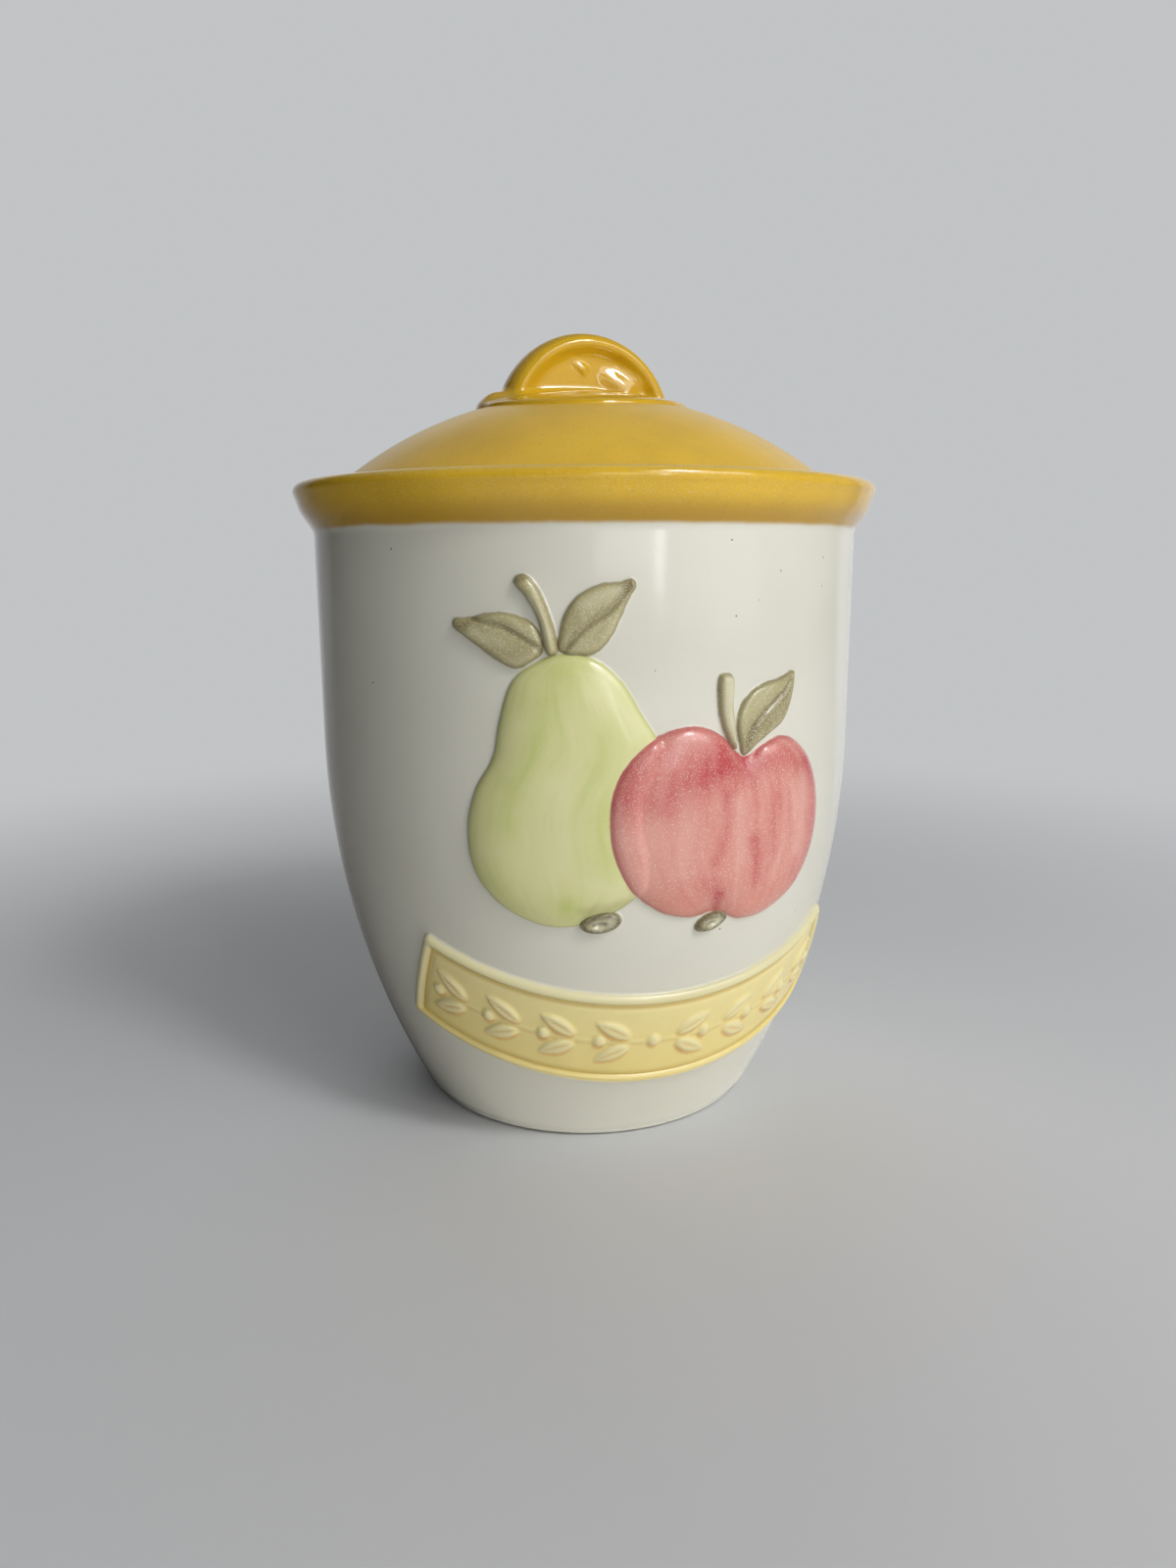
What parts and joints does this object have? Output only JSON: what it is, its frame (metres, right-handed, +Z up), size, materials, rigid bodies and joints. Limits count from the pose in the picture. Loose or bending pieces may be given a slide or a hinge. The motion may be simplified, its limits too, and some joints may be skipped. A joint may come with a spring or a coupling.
{
  "type": "rumtopf pot",
  "caption": "Tall round stoneware pot with a flared rim, a domed lift-off lid with a half-moon knob, and applied relief of a pear, an apple and a curved banner.",
  "frame": {"origin": "centre of the foot, on the surface the pot stands on", "axes": "+Z up along the pot's axis; the fruit relief and banner face -Y; +X to the right seen from the front"},
  "size_m": [0.19, 0.19, 0.2542],
  "materials": {
    "cream_glaze": "gloss",
    "golden_glaze": "gloss",
    "bare_clay": "matte",
    "pear_glaze": "gloss",
    "apple_glaze": "gloss",
    "olive_glaze": "satin",
    "banner_edge_glaze": "gloss",
    "banner_field_glaze": "gloss"
  },
  "bodies": {
    "jar": {"jar_body": "cream_glaze", "rim_band": "golden_glaze", "foot_ring": "bare_clay", "pear": "pear_glaze", "pear_stem": "olive_glaze", "pear_leaf_left": "olive_glaze", "pear_leaf_right": "olive_glaze", "pear_calyx": "olive_glaze", "apple": "apple_glaze", "apple_stem": "olive_glaze", "apple_leaf": "olive_glaze", "apple_calyx": "olive_glaze", "banner_frame": "banner_edge_glaze", "banner_panel": "banner_field_glaze", "banner_leaves": "banner_field_glaze", "banner_berries": "banner_field_glaze"},
    "lid_ring": {"lid_locating_ring": "golden_glaze"},
    "lid": {"lid_dome": "golden_glaze", "knob_pad": "golden_glaze", "lid_knob": "golden_glaze"}
  },
  "joints": [
    {"name": "lid_lift", "type": "slide", "parent": "jar", "child": "lid_ring", "axis": [0, 0, 1], "range_m": [0, 0.09]},
    {"name": "lid_turn", "type": "hinge", "parent": "lid_ring", "child": "lid", "pos_m": [0, 0, 0.195], "axis": [0, 0, 1], "continuous": true}
  ]
}
